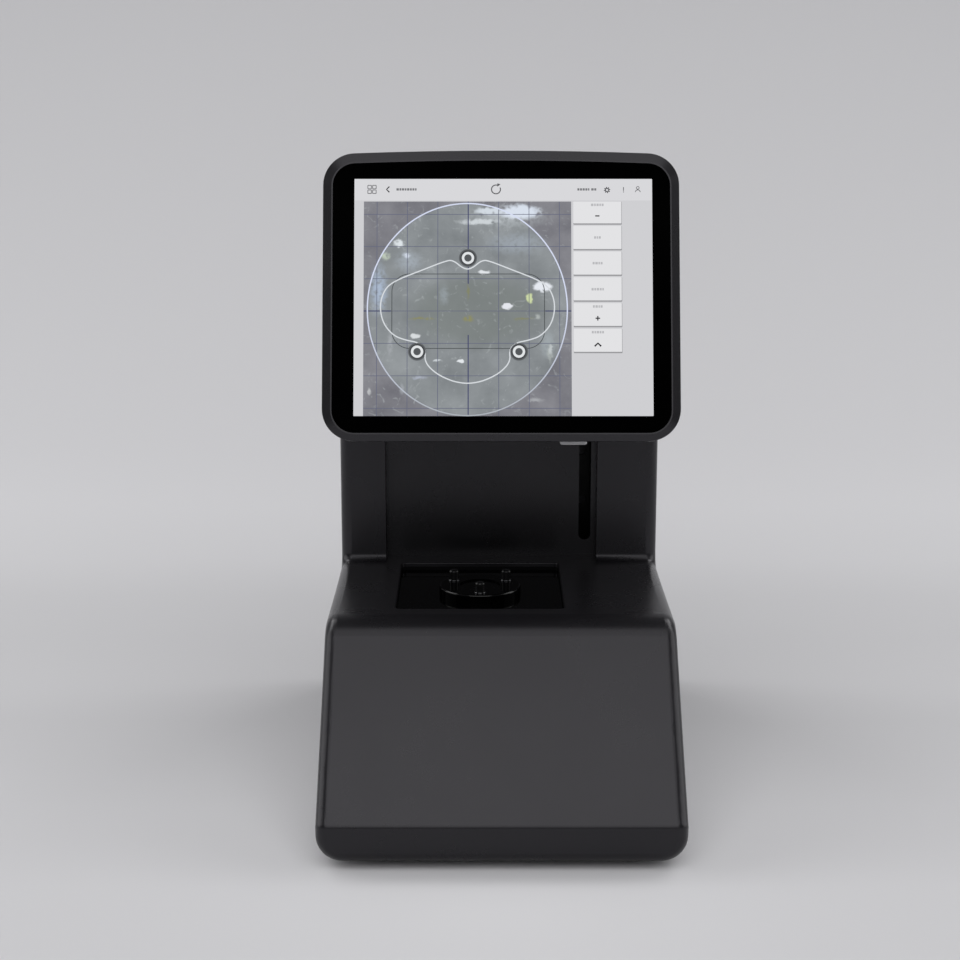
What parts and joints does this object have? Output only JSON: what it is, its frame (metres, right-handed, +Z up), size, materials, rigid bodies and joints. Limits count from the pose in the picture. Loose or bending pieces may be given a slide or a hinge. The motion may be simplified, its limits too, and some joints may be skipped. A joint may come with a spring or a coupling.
{
  "type": "lens blocker",
  "caption": "Desk-top lens blocker: sloped base with a lit stage and lens rest, slotted column, lifting swing arm with a sprung block chuck, and a leaning touch screen on the head.",
  "frame": {"origin": "on the table, under the middle of the unit's width and length", "axes": "+Z up, -Y towards the operator, +X to the operator's right"},
  "size_m": [0.2356, 0.3859, 0.4406],
  "materials": {
    "housing_plastic": "fine moulded grain, satin",
    "panel_plastic": "fine moulded grain, satin",
    "monitor_plastic": "fine moulded grain, satin",
    "screen_glass": "polished",
    "screen_cell": "polished",
    "stage_glass": "polished",
    "stage_metal": "polished",
    "pin_metal": "black chrome",
    "pin_rubber": "satin",
    "foot_rubber": "matt",
    "sheet_steel": "powder coated",
    "screw_steel": "black oxide",
    "bright_steel": "ground",
    "blackened_steel": "black chrome",
    "machined_aluminium": "dark anodised",
    "inner_plastic": "satin",
    "motor_black": "satin",
    "bearing_brass": "turned",
    "pale_chuck": "satin",
    "spring_steel": "drawn wire",
    "milk_diffuser": "milky",
    "clear_window": "clear",
    "circuit_board": "solder resist",
    "port_steel": "plated"
  },
  "bodies": {
    "unit": {"main_cover": "housing_plastic", "base_pan": "sheet_steel", "column_panel": "panel_plastic", "rear_panel": "sheet_steel", "feet": "foot_rubber", "foot_screws": "screw_steel", "pan_screws": "screw_steel", "rear_screws": "screw_steel", "stage_frame": "inner_plastic", "stage_window": "stage_glass", "light_diffuser": "milk_diffuser", "stage_light_board": "circuit_board", "stage_posts": "machined_aluminium", "lens_rest": "stage_metal", "rest_pins": "pin_metal", "pin_tips": "pin_rubber", "lift_frame": "sheet_steel", "guide_rail": "blackened_steel", "rail_screws": "screw_steel", "lift_motor": "motor_black", "screw_bush": "bearing_brass", "monitor_frame": "monitor_plastic", "monitor_glass": "screen_glass", "display_panel": "screen_cell", "display_board": "circuit_board", "monitor_back": "monitor_plastic", "monitor_mount": "machined_aluminium", "mount_screws": "screw_steel", "head_cover": "housing_plastic", "head_floor": "inner_plastic", "camera_window": "clear_window", "ring_light": "circuit_board", "camera_lens": "motor_black", "camera_body": "motor_black", "camera_bracket": "machined_aluminium", "power_inlet": "inner_plastic", "inlet_pins": "bearing_brass", "port_plate": "port_steel", "io_ports": "port_steel", "io_board": "circuit_board", "fan_frame": "inner_plastic", "power_supply": "circuit_board", "main_board": "circuit_board"},
    "lift": {"rail_carriage": "blackened_steel", "lift_bracket": "machined_aluminium", "screw_nut": "bearing_brass", "swing_motor": "motor_black"},
    "screw": {"lead_screw": "bright_steel", "motor_shaft": "bright_steel", "shaft_coupling": "machined_aluminium"},
    "arm": {"swing_shaft": "bright_steel", "chuck_arm": "machined_aluminium", "barrel_lid": "machined_aluminium", "chuck_spring": "spring_steel"},
    "chuck": {"block_chuck": "pale_chuck", "stem_clip": "bright_steel"},
    "rocker": {"power_rocker": "inner_plastic"},
    "drawer": {"fuse_drawer": "inner_plastic", "fuse": "clear_window"},
    "fan": {"fan_rotor": "inner_plastic"}
  },
  "joints": [
    {"name": "arm_lift", "type": "slide", "parent": "unit", "child": "lift", "axis": [0, 0, 1], "range_m": [-0.095, 0]},
    {"name": "screw_turn", "type": "hinge", "parent": "unit", "child": "screw", "pos_m": [0.035, 0.0935, 0.2], "axis": [0, 0, 1], "range_deg": [0, 4280]},
    {"name": "arm_swing", "type": "hinge", "parent": "lift", "child": "arm", "pos_m": [0.0631, 0.035, 0.26], "axis": [0, 0, 1], "range_deg": [-47.3, 0]},
    {"name": "chuck_press", "type": "slide", "parent": "arm", "child": "chuck", "axis": [0, 0, 1], "range_m": [0, 0.004], "stiffness_N_per_m": 1200, "springref_m": -0.003, "deforming": ["chuck_spring"]},
    {"name": "power_switch", "type": "hinge", "parent": "unit", "child": "rocker", "pos_m": [-0.072, 0.1844, 0.069], "axis": [1, 0, 0], "range_deg": [-16, 0]},
    {"name": "fuse_drawer_slide", "type": "slide", "parent": "unit", "child": "drawer", "axis": [0, 1, 0], "range_m": [0, 0.018]},
    {"name": "fan_spin", "type": "hinge", "parent": "unit", "child": "fan", "pos_m": [0.075, 0.18, 0.052], "axis": [0, 1, 0], "continuous": true}
  ],
  "couplings": [
    {"joint": "screw_turn", "follows": "arm_lift", "rad_per_m": -785.4}
  ]
}
